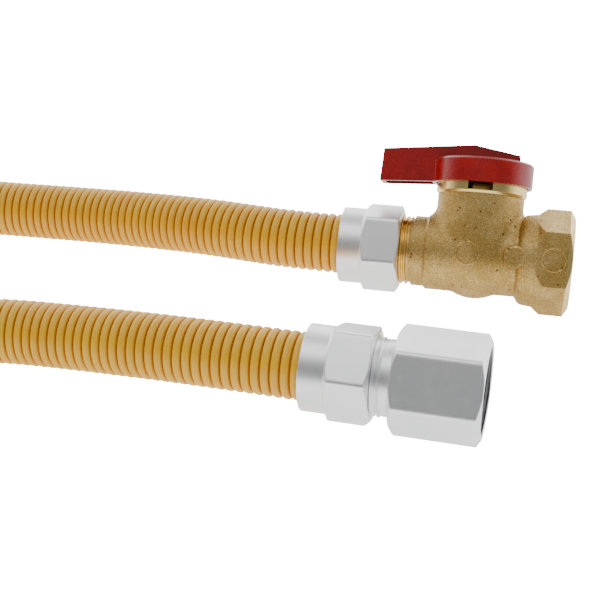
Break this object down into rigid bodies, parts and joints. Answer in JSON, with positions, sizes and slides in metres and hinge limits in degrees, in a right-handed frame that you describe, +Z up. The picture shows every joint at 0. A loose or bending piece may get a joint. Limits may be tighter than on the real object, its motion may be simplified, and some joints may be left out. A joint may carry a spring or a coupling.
{
  "type": "gas valve with flexible connector",
  "caption": "Quarter-turn brass gas ball valve with a lever handle, fitted to a coated corrugated flexible connector with flare nuts and a female pipe adapter.",
  "frame": {"origin": "centre of the valve's inlet mouth, on the pipe axis", "axes": "+X out of the inlet along the pipe axis; +Z up from the floor that the assembly lies on; the stem leans back 30 degrees from +Z towards +Y because the valve rests on a flat of its hexagon"},
  "size_m": [0.4594, 0.2219, 0.0527],
  "materials": {
    "forged_brass": "sand-blasted forging",
    "machined_brass": "turned",
    "chromed_ball": "polished",
    "seat_plastic": "smooth, waxy",
    "seal_rubber": "moulded",
    "red_paint": "gloss enamel",
    "plated_steel": "bright plating, satin",
    "stainless_tube": "drawn",
    "yellow_coating": "semi-gloss coating"
  },
  "bodies": {
    "valve": {"valve_body": "forged_brass", "seat_inlet": "seat_plastic", "seat_outlet": "seat_plastic", "seat_retainer": "machined_brass", "retainer_o_ring": "seal_rubber", "thrust_washer": "seat_plastic", "gland_packing": "seat_plastic", "gland_nut": "machined_brass", "flare_nut_valve": "plated_steel", "tube_end_valve": "stainless_tube", "hose": "yellow_coating", "tube_end_adapter": "stainless_tube", "flare_nut_adapter": "plated_steel", "adapter": "plated_steel"},
    "lever": {"handle": "red_paint", "spring_washer": "plated_steel", "handle_screw": "plated_steel", "stem": "machined_brass", "stem_o_rings": "seal_rubber"},
    "ball": {"ball": "chromed_ball"}
  },
  "joints": [
    {"name": "handle_turn", "type": "hinge", "parent": "valve", "child": "lever", "pos_m": [-0.0325, 0, 0], "axis": [0, 0.5, 0.866], "range_deg": [-90, 0]},
    {"name": "ball_turn", "type": "hinge", "parent": "valve", "child": "ball", "pos_m": [-0.0325, 0, 0], "axis": [0, 0.5, 0.866], "range_deg": [-90, 0]}
  ],
  "couplings": [
    {"joint": "ball_turn", "follows": "handle_turn", "ratio": 1}
  ]
}
